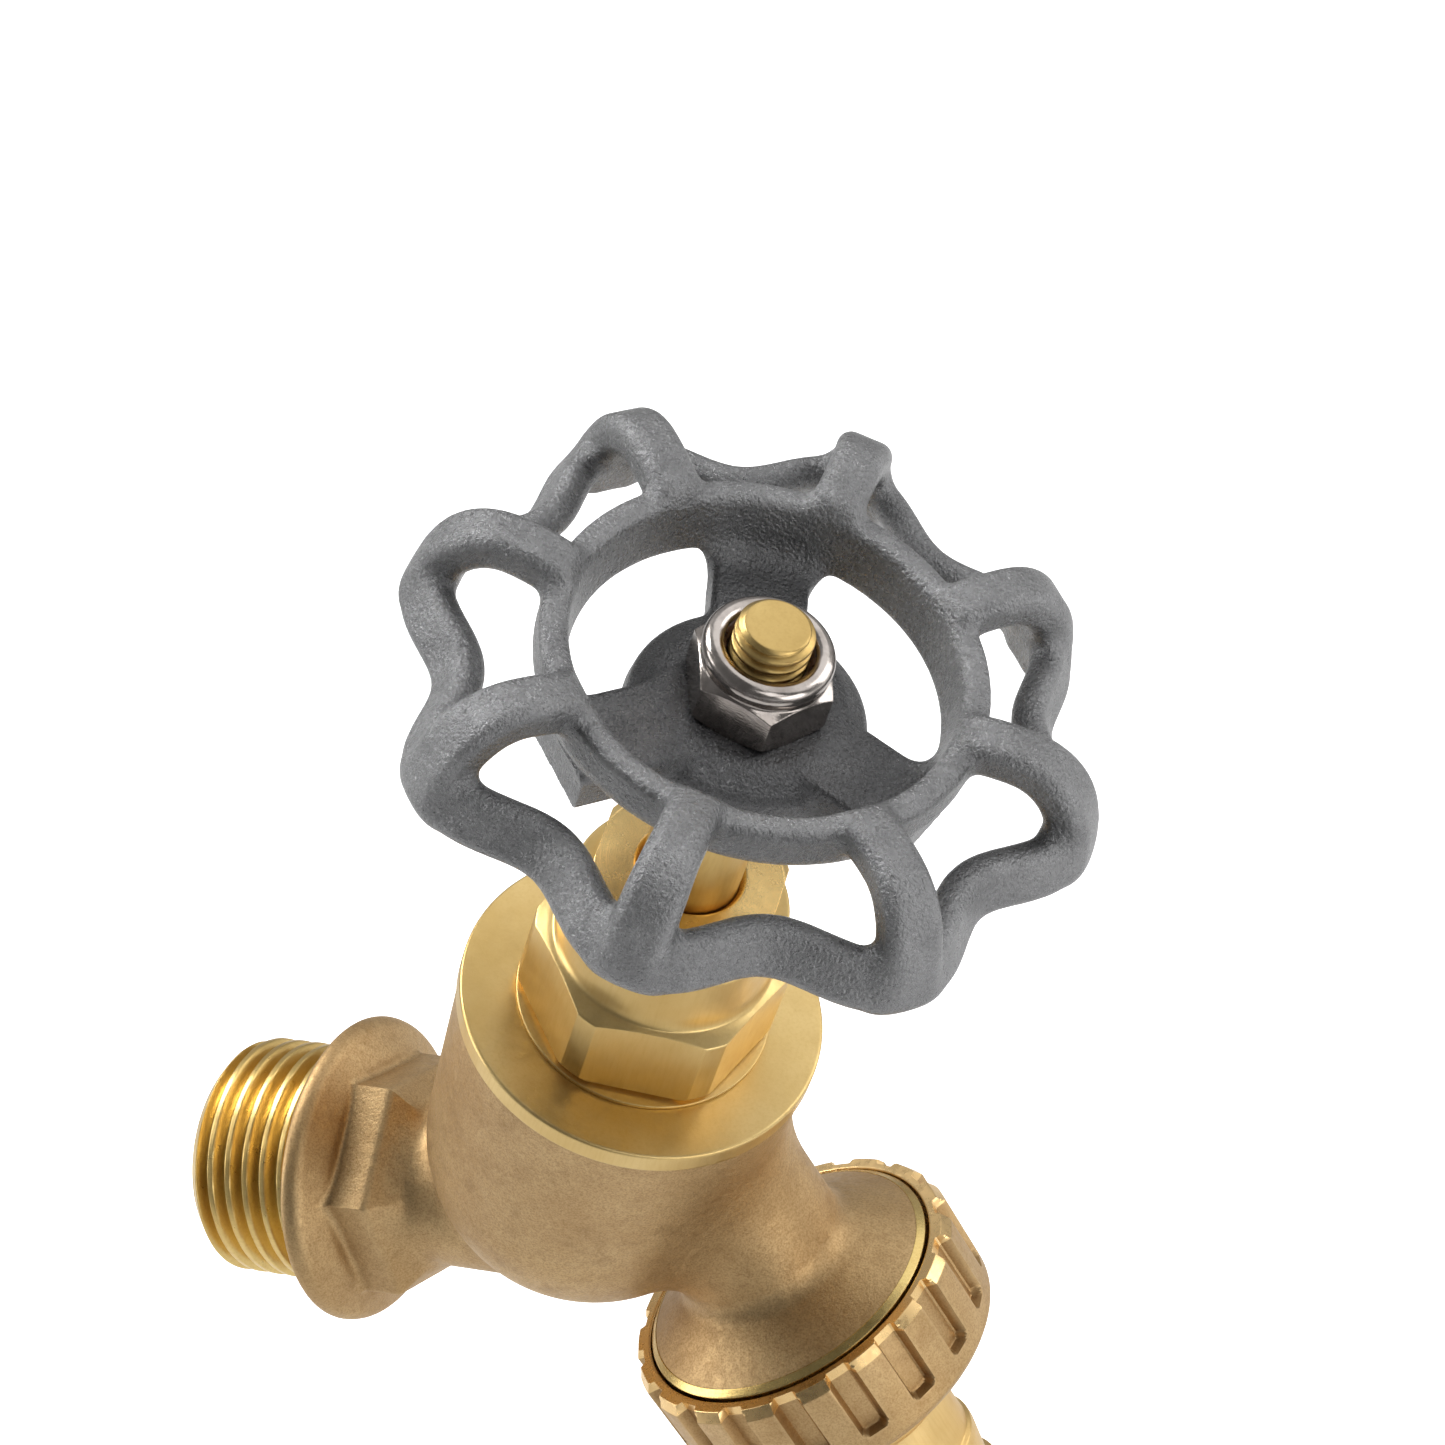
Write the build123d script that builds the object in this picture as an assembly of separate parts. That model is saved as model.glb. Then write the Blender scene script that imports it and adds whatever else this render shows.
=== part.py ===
from build123d import *
import os
from math import cos, pi, radians, sin, sqrt

# Hose bib, 1/2 inch: a brass globe valve with a leaning stem, an eight-lobed handwheel
# and a swivel union with a barbed hose tail. Millimetres, +Z up.
# The origin is where the inlet axis meets the shoulder that stops the inlet thread; the
# inlet points along -X. Heights called z_... are along the stem axis, measured from the
# point where it meets the inlet axis. Depths called s_... are along the spout axis,
# measured from the point where it leaves the stem axis.

# ---- layout ----
SHOULDER_TO_STEM = 21.5
STEM_LEAN = 30.0            # degrees forward of vertical
SPOUT_LEAN = 15.0           # degrees forward of straight down
Z_SPOUT = 22.9
LIFT = 6.0                  # how far the stem rises from shut to fully open

RUN = 0.05                  # radial clearance where parts turn or slide
TOUCH = 0.02                # radial clearance where fixed parts slip together

# ---- inlet: G1/2 male thread, round shoulder, six-sided wrench collar, neck ----
INLET_THREAD_R = 20.955 / 2
INLET_THREAD_LEN = 12.0
INLET_BORE_R = 7.3
INLET_BORE_LEN = 17.0
SHOULDER_R = 13.5
SHOULDER_THICK = 1.9
SHOULDER_ROOT_R = 10.4      # the back of the shoulder slopes down to this
SHOULDER_ROOT = 3.5         # distances behind the shoulder face from here on
COLLAR_FLATS = 18.2
COLLAR_SIDES = 6
COLLAR_TURN = 30.0          # puts one corner straight up
COLLAR_END = 6.7
NECK_R = 7.5
NECK_START = 8.5
WATERWAY_R = 5.0
THREAD_CHAMFER = 0.8

# ---- bowl ----
RIM_R = 15.08
RIM_HEIGHT = 2.0
Z_RIM = 29.5
CAST_TOP_R = 14.9
BOWL_R = 14.3
Z_BOWL = 10.0
Z_CHAMBER_FLOOR = 4.5
CHAMBER_R = 9.6
SEAT_INNER_R = 5.5
SEAT_OUTER_R = 7.3
Z_SEAT = 6.5

# ---- bonnet ----
BONNET_THREAD_R = 10.0
Z_BONNET_FOOT = 20.5
Z_RELIEF = 27.7
RELIEF_R = 9.0
RING_CORD_R = 0.74
BONNET_BASE_R = 10.5
Z_BONNET_BASE = 30.2
BONNET_FLATS = 19.0
Z_HEX_TOP = 37.5
Z_COLLAR = 39.6
COLLAR_R = 8.8
Z_COLLAR_TOP = 44.3
BONNET_TURN = 18.0          # degrees: where one hex corner points
Z_WEB_BOTTOM = 35.4
Z_WEB_TOP = 36.4
PACKING_R = 6.0

# ---- packing and gland ----
WASHER_THICK = 0.8
PACKING_THICK = 1.9
GLAND_FLATS = 14.7
GLAND_TURN = 38.7
GLAND_CORNER_R = 8.2
Z_GLAND_TOP = 47.6
GLAND_MOUTH_R = 4.5

# ---- stem ----
STEM_THREAD_R = 6.0
Z_STEM_FOOT = 12.55
Z_STEM_THREAD_TOP = Z_WEB_BOTTOM - LIFT - 0.4
STEM_R = 4.0
Z_SQUARE = 65.5
SQUARE_FLATS = 6.0
Z_STEM_TIP = 77.3
TIP_THREAD_R = 3.0
TIP_CHAMFER_R = 2.47

# ---- valve disc ----
DISC_STEM_R = 2.95
Z_DISC_STEM_TOP = 24.0
DISC_R = 8.6
Z_DISC_TOP = 12.5
Z_CUP_FLOOR = 10.2
Z_CUP_LIP = 9.2
SEAT_WASHER_R = 8.0
STUD_R = 2.0
STUD_TIP_Z = 2.2
PLATE_R = 4.6
PLATE_THICK = 0.8
STUD_NUT_FLATS = 7.0
STUD_NUT_THICK = 2.6
CLIP_WIRE = 0.9
Z_CLIP = 20.0
CLIP_INNER_R = 2.4
CLIP_OUTER_R = 3.4
CLIP_GAP = 50.0             # degrees

# ---- handwheel ----
HUB_TOP_R = 6.9
HUB_R = 9.1
Z_HUB_TOP = 69.3
Z_HUB_SHOULDER = 67.8
Z_PLATE_TOP = 69.0
WEB_COUNT = 3
WEB_WIDTH = 7.4
WEB_TURN = 109.5
WEB_REACH = 15.6
RING_INNER_R = 14.1
RING_OUTER_R = 17.0
Z_RING_BOTTOM = 68.9
Z_RING_TOP = 74.4
LOBES = 8
LOBE_TURN = 4.2
RIM_LOBE_R = 25.8
RIM_VALLEY_R = 22.0
Z_RIM_MID = 67.8
RIM_THICK = 2.8
RIM_TALL = 4.8
RIM_SLANT = 26.0            # degrees: the top of the rim leans in
ARM_START_R = 16.0
ARM_SHOULDER_R = 22.9
ARM_SAG = 1.9               # how far the arm has dropped there
ARM_WIDTH = 4.4
ARM_THICK = 3.9
Z_ARM = 74.5

# ---- lock nut: M6 with a nylon ring ----
NUT_FLATS = 10.0
NUT_TURN = -62.0
NUT_HEX_TALL = 4.0
NUT_TALL = 6.0
NUT_COLLAR_R = 4.85
NUT_MOUTH_R = 3.4
NYLON_R = 4.2
NYLON_THICK = 1.5

# ---- spout, union nut and hose tail: G3/4 thread ----
SPOUT_TUBE_R = 7.45
S_TUBE_START = 5.0
SPOUT_BORE_R = 5.0
S_SPOUT_BORE = 8.0
S_FLARE_START = 23.0
FLARE_NECK_R = 7.9
S_FLARE_NECK = 24.2
SKIRT_TOP_R = 9.3
S_SKIRT_TOP = 25.5
S_NUT_TOP = 28.3
SPOUT_LIP_R = 13.4
LIP_CHAMFER = 0.5
UNION_THREAD_R = 26.441 / 2
SPOUT_THREAD_END = 5.2      # all lengths from here on start at the nut's top plane
SPOUT_LIP_END = 1.0
NUT_BODY_R = 14.3
NUT_RIB_R = 15.2
NUT_FOOT_R = 15.0
NUT_TOP_ROUND = 0.8
NUT_LENGTH = 9.6
NUT_LIP_THICK = 1.7
NUT_MOUTH_LEN = 1.4
RIBS = 18
RIB_TURN = 6.4
GROOVE_WIDTH = 2.0
GROOVE_END = 7.0
HOSE_GASKET_THICK = 1.2
TAIL_FLANGE_R = 12.6
TAIL_FLANGE_THICK = 1.5
TAIL_COLLAR_R = 8.0
TAIL_COLLAR_END = 15.0
TAIL_R = 6.45
TAIL_BORE_R = 4.9
BARBS = 3
BARB_START = 21.4
BARB_PITCH = 5.6
BARB_R = 6.8
BARB_ROOT_R = 6.1

stem_zero = Vector(SHOULDER_TO_STEM, 0, 0)
lean = radians(STEM_LEAN)
stem_plane = Plane(origin=stem_zero, x_dir=(cos(lean), 0, -sin(lean)), z_dir=(sin(lean), 0, cos(lean)))
tilt = radians(SPOUT_LEAN)
spout_plane = Plane(
    origin=stem_zero + stem_plane.z_dir * Z_SPOUT,
    x_dir=(cos(tilt), 0, sin(tilt)),
    z_dir=(sin(tilt), 0, -cos(tilt)),
)
inlet_plane = Plane(origin=(0, 0, 0), x_dir=(0, 1, 0), z_dir=(-1, 0, 0))


def tube(outer_r, inner_r, bottom, top):
    """A round piece on the local Z axis, between two heights, with a bore when inner_r > 0."""
    height = top - bottom
    placed = Pos(0, 0, bottom)
    shape = placed * Cylinder(outer_r, height, align=(Align.CENTER, Align.CENTER, Align.MIN))
    if inner_r > 0:
        shape -= placed * Cylinder(inner_r, height, align=(Align.CENTER, Align.CENTER, Align.MIN))
    return shape


def cone(bottom_r, top_r, bottom, top):
    """A cone frustum on the local Z axis, between two heights."""
    return Pos(0, 0, bottom) * Cone(
        bottom_r, top_r, top - bottom, align=(Align.CENTER, Align.CENTER, Align.MIN)
    )


def prism(flats, sides, bottom, top, turn):
    """A regular prism with the given distance across flats, one corner at `turn` degrees."""
    corner_r = flats / 2 / cos(pi / sides)
    outline = Plane.XY.offset(bottom) * RegularPolygon(corner_r, sides, rotation=turn)
    return extrude(outline, top - bottom)


def turned(points):
    """A solid of revolution about local Z from an outline of (radius, height) points."""
    corners = [(r, 0, z) for r, z in points]
    return revolve(make_face(Polyline(*corners, close=True)), Axis.Z)


def groove_box(width, inner_r, outer_r, bottom, top, turn):
    """A radial block from inner_r to outer_r, between two heights, at `turn` degrees."""
    length = outer_r - inner_r
    block = Box(length, width, top - bottom, align=(Align.MIN, Align.CENTER, Align.MIN))
    return Rot(0, 0, turn) * Pos(inner_r, 0, bottom) * block


def on_stem(shape):
    return stem_plane.location * shape


def on_spout(shape):
    return spout_plane.location * shape


def on_inlet(shape):
    return inlet_plane.location * shape


# ---- valve body ----
def bowl_outside():
    """A round bowl: half a ball under a slightly tapered barrel with a machined rim."""
    side = Line((BOWL_R, 0, Z_BOWL), (CAST_TOP_R, 0, Z_RIM - RIM_HEIGHT))
    step = Line((CAST_TOP_R, 0, Z_RIM - RIM_HEIGHT), (RIM_R, 0, Z_RIM - RIM_HEIGHT))
    rim = Line((RIM_R, 0, Z_RIM - RIM_HEIGHT), (RIM_R, 0, Z_RIM))
    lid = Line((RIM_R, 0, Z_RIM), (0, 0, Z_RIM))
    middle = Line((0, 0, Z_RIM), (0, 0, Z_BOWL - BOWL_R))
    halfway = BOWL_R * sqrt(0.5)
    bottom = ThreePointArc((0, 0, Z_BOWL - BOWL_R), (halfway, 0, Z_BOWL - halfway), (BOWL_R, 0, Z_BOWL))
    return on_stem(revolve(make_face([side, step, rim, lid, middle, bottom]), Axis.Z))


def inlet_outside():
    """The threaded end, shoulder, collar and neck, along the inlet axis."""
    neck = tube(NECK_R, 0, -SHOULDER_TO_STEM, 0) + Pos(0, 0, -SHOULDER_TO_STEM) * Sphere(NECK_R)
    collar = prism(COLLAR_FLATS, COLLAR_SIDES, -COLLAR_END, 0, COLLAR_TURN)
    collar += cone(NECK_R, COLLAR_FLATS / 2, -NECK_START, -COLLAR_END)
    shoulder = tube(SHOULDER_R, 0, -SHOULDER_THICK, 0)
    shoulder += cone(SHOULDER_ROOT_R, SHOULDER_R, -SHOULDER_ROOT, -SHOULDER_THICK)
    thread = tube(INLET_THREAD_R, 0, 0, INLET_THREAD_LEN)
    thread = chamfer(thread.edges().group_by(Axis.Z)[-1], THREAD_CHAMFER)
    return on_inlet(neck + collar + shoulder + thread)


def spout_outside():
    """The spout tube and its flared end with the thread for the union nut."""
    flare = turned([
        (0, S_FLARE_START),
        (SPOUT_TUBE_R, S_FLARE_START),
        (FLARE_NECK_R, S_FLARE_NECK),
        (SKIRT_TOP_R, S_SKIRT_TOP),
        (SPOUT_LIP_R - LIP_CHAMFER, S_NUT_TOP - LIP_CHAMFER),
        (SPOUT_LIP_R, S_NUT_TOP - 0.1),
        (SPOUT_LIP_R, S_NUT_TOP + SPOUT_LIP_END),
        (UNION_THREAD_R, S_NUT_TOP + SPOUT_LIP_END),
        (UNION_THREAD_R, S_NUT_TOP + SPOUT_THREAD_END),
        (0, S_NUT_TOP + SPOUT_THREAD_END),
    ])
    return on_spout(tube(SPOUT_TUBE_R, 0, S_TUBE_START, S_NUT_TOP) + flare)


def body_cavities():
    """Waterway, seat port, valve chamber and bonnet thread, as one tool solid."""
    chamber = turned([
        (0, 0),
        (SEAT_INNER_R, 0),
        (SEAT_INNER_R, Z_SEAT),
        (SEAT_OUTER_R, Z_SEAT),
        (SEAT_OUTER_R, Z_CHAMBER_FLOOR),
        (CHAMBER_R, Z_CHAMBER_FLOOR),
        (CHAMBER_R, Z_BONNET_FOOT - 1),
        (BONNET_THREAD_R + TOUCH, Z_BONNET_FOOT - 1),
        (BONNET_THREAD_R + TOUCH, Z_RELIEF),
        (BONNET_BASE_R, Z_RELIEF),
        (BONNET_BASE_R, Z_RIM + 1),
        (0, Z_RIM + 1),
    ])
    inlet = on_inlet(
        tube(INLET_BORE_R, 0, INLET_THREAD_LEN - INLET_BORE_LEN, INLET_THREAD_LEN + 1)
        + tube(WATERWAY_R, 0, -SHOULDER_TO_STEM, 0)
        + Pos(0, 0, -SHOULDER_TO_STEM) * Sphere(SEAT_INNER_R)
    )
    outlet = on_spout(tube(SPOUT_BORE_R, 0, S_SPOUT_BORE, S_NUT_TOP + SPOUT_THREAD_END + 1))
    return on_stem(chamber) + inlet + outlet


def valve_body():
    bowl = bowl_outside()
    outside = bowl + inlet_outside() + spout_outside()
    return outside - body_cavities()


# ---- bonnet, packing and gland ----
def bonnet():
    thread = tube(BONNET_THREAD_R, 0, Z_BONNET_FOOT, Z_RELIEF)
    relief = tube(RELIEF_R, 0, Z_RELIEF, Z_RIM)
    base = tube(BONNET_BASE_R, 0, Z_RIM, Z_BONNET_BASE)
    hexagon = prism(BONNET_FLATS, 6, Z_BONNET_BASE, Z_COLLAR, BONNET_TURN)
    hexagon &= tube(BONNET_BASE_R, 0, Z_BONNET_BASE, Z_HEX_TOP) + cone(
        BONNET_BASE_R, COLLAR_R, Z_HEX_TOP, Z_COLLAR
    )
    collar = tube(COLLAR_R, 0, Z_HEX_TOP, Z_COLLAR_TOP)
    stem_bore = tube(STEM_THREAD_R + RUN, 0, Z_BONNET_FOOT - 1, Z_WEB_BOTTOM)
    web_bore = tube(STEM_R + RUN, 0, Z_WEB_BOTTOM - 1, Z_WEB_TOP + 1)
    packing_bore = tube(PACKING_R, 0, Z_WEB_TOP, Z_COLLAR_TOP + 1)
    return on_stem(thread + relief + base + hexagon + collar - stem_bore - web_bore - packing_bore)


def bonnet_o_ring():
    ring_r = (RELIEF_R + BONNET_BASE_R) / 2
    return on_stem(Pos(0, 0, (Z_RELIEF + Z_RIM) / 2) * Torus(ring_r, RING_CORD_R))


z_packing = Z_WEB_TOP + WASHER_THICK
z_follower = z_packing + 2 * PACKING_THICK
z_gland = z_follower + WASHER_THICK


def gland_ring(bottom, thickness):
    return on_stem(tube(PACKING_R - TOUCH, STEM_R + RUN, bottom, bottom + thickness))


def gland_nut():
    head = prism(GLAND_FLATS, 6, Z_COLLAR_TOP, Z_GLAND_TOP, GLAND_TURN)
    head &= tube(GLAND_CORNER_R, 0, Z_COLLAR_TOP, Z_GLAND_TOP - 0.4) + cone(
        GLAND_CORNER_R, GLAND_CORNER_R - 0.5, Z_GLAND_TOP - 0.4, Z_GLAND_TOP
    )
    nose = tube(PACKING_R - TOUCH, 0, z_gland, Z_COLLAR_TOP)
    bore = tube(STEM_R + RUN, 0, z_gland - 1, Z_GLAND_TOP + 1)
    mouth = cone(STEM_R + RUN, GLAND_MOUTH_R, Z_GLAND_TOP - 0.5, Z_GLAND_TOP)
    return on_stem(head + nose - bore - mouth)


# ---- stem ----
def stem():
    thread = tube(STEM_THREAD_R, 0, Z_STEM_FOOT, Z_STEM_THREAD_TOP)
    thread = chamfer(thread.edges().sort_by(Axis.Z)[-1], THREAD_CHAMFER)
    shaft = tube(STEM_R, 0, Z_STEM_THREAD_TOP, Z_HUB_TOP - 0.3)
    square = prism(SQUARE_FLATS, 4, Z_SQUARE, Z_HUB_TOP, 45)
    shaft &= tube(STEM_R, 0, Z_STEM_THREAD_TOP, Z_SQUARE) + square
    tip = tube(TIP_THREAD_R, 0, Z_SQUARE, Z_STEM_TIP)
    tip = chamfer(tip.edges().sort_by(Axis.Z)[-1], TIP_THREAD_R - TIP_CHAMFER_R)
    socket = tube(DISC_STEM_R + RUN, 0, Z_STEM_FOOT - 1, Z_DISC_STEM_TOP + 0.6)
    clip_groove = tube(CLIP_OUTER_R + 0.1, 0, Z_CLIP - 0.1, Z_CLIP + CLIP_WIRE + 0.1)
    return on_stem(thread + shaft + tip - socket - clip_groove)


# ---- valve disc ----
def disc_holder():
    shank = tube(DISC_STEM_R, 0, Z_DISC_TOP, Z_DISC_STEM_TOP)
    shank -= tube(DISC_STEM_R + 1, CLIP_INNER_R, Z_CLIP, Z_CLIP + CLIP_WIRE)
    cup = tube(DISC_R, 0, Z_CUP_LIP, Z_DISC_TOP)
    cup -= tube(SEAT_WASHER_R, 0, Z_CUP_LIP, Z_CUP_FLOOR)
    stud = tube(STUD_R, 0, STUD_TIP_Z, Z_CUP_FLOOR)
    return on_stem(cup + shank + stud)


def jumper_clip():
    ring = tube(CLIP_OUTER_R, CLIP_INNER_R, Z_CLIP, Z_CLIP + CLIP_WIRE)
    opening_width = 2 * CLIP_OUTER_R * sin(radians(CLIP_GAP / 2))
    opening = groove_box(opening_width, 0, CLIP_OUTER_R + 1, Z_CLIP, Z_CLIP + CLIP_WIRE, 180)
    return on_stem(ring - opening)


def seat_washer():
    disc = tube(SEAT_WASHER_R - TOUCH, STUD_R + TOUCH, Z_SEAT, Z_CUP_FLOOR)
    return on_stem(chamfer(disc.edges().sort_by(Axis.Z)[0], 0.3))


def washer_plate():
    return on_stem(tube(PLATE_R, STUD_R + TOUCH, Z_SEAT - PLATE_THICK, Z_SEAT))


def washer_nut():
    top = Z_SEAT - PLATE_THICK
    body = prism(STUD_NUT_FLATS, 6, top - STUD_NUT_THICK, top, 0)
    return on_stem(body - tube(STUD_R + TOUCH, 0, top - STUD_NUT_THICK - 1, top + 1))


# ---- handwheel ----
def wheel_hub():
    hub = turned([
        (0, Z_SQUARE),
        (HUB_R, Z_SQUARE),
        (HUB_R, Z_HUB_SHOULDER),
        (HUB_TOP_R, Z_HUB_TOP),
        (0, Z_HUB_TOP),
    ])
    for k in range(WEB_COUNT):
        hub += groove_box(WEB_WIDTH, 0, WEB_REACH, Z_SQUARE, Z_PLATE_TOP, WEB_TURN + k * 360 / WEB_COUNT)
    return hub


def wheel_ring():
    """The inner ring: a tall band whose bore flares upward and whose foot slopes out."""
    return turned([
        (RING_INNER_R, Z_RING_BOTTOM),
        (RING_OUTER_R - 0.9, Z_RING_BOTTOM + 0.6),
        (RING_OUTER_R, Z_RING_BOTTOM + 1.6),
        (RING_OUTER_R, Z_RING_TOP - 0.9),
        (RING_OUTER_R - 0.7, Z_RING_TOP - 0.2),
        (RING_INNER_R + 1.5, Z_RING_TOP),
        (RING_INNER_R + 0.8, Z_RING_TOP - 0.3),
    ])


def wheel_rim():
    """The scalloped outer rim: a narrow slanted oval on a wavy closed path."""
    mean_r = (RIM_LOBE_R + RIM_VALLEY_R) / 2
    wave = (RIM_LOBE_R - RIM_VALLEY_R) / 2
    steps = 8 * LOBES
    points = []
    for k in range(steps):
        angle = radians(LOBE_TURN) + 2 * pi * k / steps
        r = mean_r + wave * cos(LOBES * (angle - radians(LOBE_TURN)))
        points.append((r * cos(angle), r * sin(angle), Z_RIM_MID))
    path = Spline(*points, periodic=True)
    start = Plane(origin=path @ 0, x_dir=(0, 0, 1), z_dir=path % 0)
    section = start * Rot(0, 0, -RIM_SLANT) * Ellipse(RIM_TALL / 2, RIM_THICK / 2)
    return sweep(section, path)


def wheel_arm(turn):
    """One arm: level out from the ring, then arching over and down to a lobe of the rim."""
    start = Vector(ARM_START_R, 0, Z_ARM)
    shoulder = Vector(ARM_SHOULDER_R, 0, Z_ARM - ARM_SAG)
    foot = Vector(RIM_LOBE_R, 0, Z_RIM_MID)
    path = Spline(start, shoulder, foot, tangents=[(1, 0, 0), (0, 0, -1)])
    section = Plane(origin=start, x_dir=(0, 1, 0), z_dir=(1, 0, 0)) * Ellipse(ARM_WIDTH / 2, ARM_THICK / 2)
    return Rot(0, 0, turn) * sweep(section, path)


def handwheel():
    wheel = wheel_hub() + wheel_ring() + wheel_rim()
    for k in range(LOBES):
        wheel += wheel_arm(LOBE_TURN + k * 360 / LOBES)
    square_hole = prism(SQUARE_FLATS + 2 * TOUCH, 4, Z_SQUARE - 1, Z_HUB_TOP + 1, 45)
    square_hole &= tube(STEM_R + TOUCH, 0, Z_SQUARE - 1, Z_HUB_TOP + 1)
    return on_stem(wheel - square_hole)


# ---- lock nut ----
def lock_nut():
    top = Z_HUB_TOP + NUT_TALL
    hexagon = prism(NUT_FLATS, 6, Z_HUB_TOP, Z_HUB_TOP + NUT_HEX_TALL, NUT_TURN)
    corner_r = NUT_FLATS / 2 / cos(pi / 6)
    hexagon &= tube(corner_r, 0, Z_HUB_TOP, top - 2.6) + cone(
        corner_r, NUT_COLLAR_R, top - 2.6, Z_HUB_TOP + NUT_HEX_TALL
    )
    collar = tube(NUT_COLLAR_R, 0, Z_HUB_TOP, top)
    collar = fillet(collar.edges().sort_by(Axis.Z)[-1], 0.6)
    bore = tube(TIP_THREAD_R + TOUCH, 0, Z_HUB_TOP - 1, top)
    nylon_seat = tube(NYLON_R, 0, top - 0.6 - NYLON_THICK, top - 0.6)
    mouth = tube(NUT_MOUTH_R, 0, top - 1, top + 1)
    return on_stem(hexagon + collar - bore - nylon_seat - mouth)


def lock_nut_insert():
    top = Z_HUB_TOP + NUT_TALL - 0.6
    return on_stem(tube(NYLON_R - TOUCH, TIP_THREAD_R + TOUCH, top - NYLON_THICK, top))


# ---- union nut and hose tail ----
s_gasket = S_NUT_TOP + SPOUT_THREAD_END
s_tail = s_gasket + HOSE_GASKET_THICK
s_lip = s_tail + TAIL_FLANGE_THICK


def union_nut():
    bottom = S_NUT_TOP + NUT_LENGTH
    outside = cone(NUT_RIB_R, NUT_FOOT_R, S_NUT_TOP, bottom)
    outside = fillet(outside.edges().sort_by(Axis.Z)[-1], NUT_TOP_ROUND)
    groove_end = S_NUT_TOP + GROOVE_END
    for k in range(RIBS):
        turn = RIB_TURN + k * 360 / RIBS
        groove = groove_box(GROOVE_WIDTH, NUT_BODY_R, NUT_RIB_R + 1, S_NUT_TOP - 1, groove_end, turn)
        outside -= groove
    thread_bore = tube(UNION_THREAD_R + RUN, 0, S_NUT_TOP - 1, s_lip)
    mouth = tube(SPOUT_LIP_R + 2 * RUN, 0, S_NUT_TOP - 1, S_NUT_TOP + NUT_MOUTH_LEN)
    tail_hole = tube(TAIL_COLLAR_R + 2 * RUN, 0, s_lip - 1, bottom + 1)
    return on_spout(outside - thread_bore - mouth - tail_hole)


def hose_gasket():
    return on_spout(tube(TAIL_FLANGE_R - 0.3, TAIL_BORE_R + 0.6, s_gasket, s_tail))


def hose_tail():
    outline = [
        (TAIL_BORE_R, s_tail),
        (TAIL_FLANGE_R, s_tail),
        (TAIL_FLANGE_R, s_lip),
        (TAIL_COLLAR_R, s_lip),
        (TAIL_COLLAR_R, S_NUT_TOP + TAIL_COLLAR_END - 0.5),
        (TAIL_R, S_NUT_TOP + TAIL_COLLAR_END + 0.3),
        (TAIL_R, S_NUT_TOP + BARB_START - 0.3),
    ]
    for k in range(BARBS):
        barb = S_NUT_TOP + BARB_START + k * BARB_PITCH
        outline.append((BARB_R, barb))
        outline.append((BARB_R, barb + 0.8))
        outline.append((BARB_ROOT_R, barb + BARB_PITCH - 0.3))
    outline.append((TAIL_BORE_R, S_NUT_TOP + BARB_START + BARBS * BARB_PITCH))
    return on_spout(turned(outline))


pieces = {
    "valve_body": valve_body(),
    "bonnet": bonnet(),
    "bonnet_o_ring": bonnet_o_ring(),
    "packing_washer": gland_ring(Z_WEB_TOP, WASHER_THICK),
    "packing_ring_lower": gland_ring(z_packing, PACKING_THICK),
    "packing_ring_upper": gland_ring(z_packing + PACKING_THICK, PACKING_THICK),
    "packing_follower": gland_ring(z_follower, WASHER_THICK),
    "gland_nut": gland_nut(),
    "stem": stem(),
    "disc_holder": disc_holder(),
    "jumper_clip": jumper_clip(),
    "seat_washer": seat_washer(),
    "washer_plate": washer_plate(),
    "washer_nut": washer_nut(),
    "handwheel": handwheel(),
    "lock_nut": lock_nut(),
    "lock_nut_insert": lock_nut_insert(),
    "union_nut": union_nut(),
    "hose_gasket": hose_gasket(),
    "hose_tail": hose_tail(),
}

os.makedirs("parts", exist_ok=True)
for name, shape in pieces.items():
    export_step(shape, f"parts/{name}.step")
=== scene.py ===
from math import cos, pi, radians, sin

import bmesh
import bpy
import numpy as np
from mathutils import Matrix, Vector, noise


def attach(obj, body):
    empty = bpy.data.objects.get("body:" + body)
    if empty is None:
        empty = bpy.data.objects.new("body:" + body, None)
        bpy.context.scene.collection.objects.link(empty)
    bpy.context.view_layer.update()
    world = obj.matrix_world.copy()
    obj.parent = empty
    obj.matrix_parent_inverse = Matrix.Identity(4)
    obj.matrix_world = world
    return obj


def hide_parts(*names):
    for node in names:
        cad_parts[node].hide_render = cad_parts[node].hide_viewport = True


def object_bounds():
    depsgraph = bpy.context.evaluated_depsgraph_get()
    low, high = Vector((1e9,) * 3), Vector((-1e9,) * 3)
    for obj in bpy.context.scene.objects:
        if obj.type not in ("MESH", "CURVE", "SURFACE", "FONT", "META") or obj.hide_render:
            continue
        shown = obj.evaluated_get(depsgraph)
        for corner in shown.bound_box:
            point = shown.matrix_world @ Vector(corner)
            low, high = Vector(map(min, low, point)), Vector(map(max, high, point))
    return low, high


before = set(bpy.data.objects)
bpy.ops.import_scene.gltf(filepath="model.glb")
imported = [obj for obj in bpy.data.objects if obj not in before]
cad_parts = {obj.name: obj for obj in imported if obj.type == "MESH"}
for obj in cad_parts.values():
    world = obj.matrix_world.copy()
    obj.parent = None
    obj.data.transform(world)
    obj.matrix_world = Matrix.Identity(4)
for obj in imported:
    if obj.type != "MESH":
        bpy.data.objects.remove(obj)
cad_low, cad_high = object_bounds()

# Looks for the hose bib. Lengths are millimetres until a mesh is made, then metres.
# The part's frame is the CAD's: its origin is on the inlet axis where the shoulder faces the
# thread, X runs along that axis into the valve and Z is up.
# Three local frames carry every piece: stem (Z up the stem from where it meets the inlet
# axis), spout (Z down the spout from where it leaves the stem) and inlet (Z out of the
# inlet from its shoulder). Names with Z_ are heights in the stem frame, names with S_ are
# heights in the spout frame. Outlines of turned pieces are (radius, height, rounding).

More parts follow.
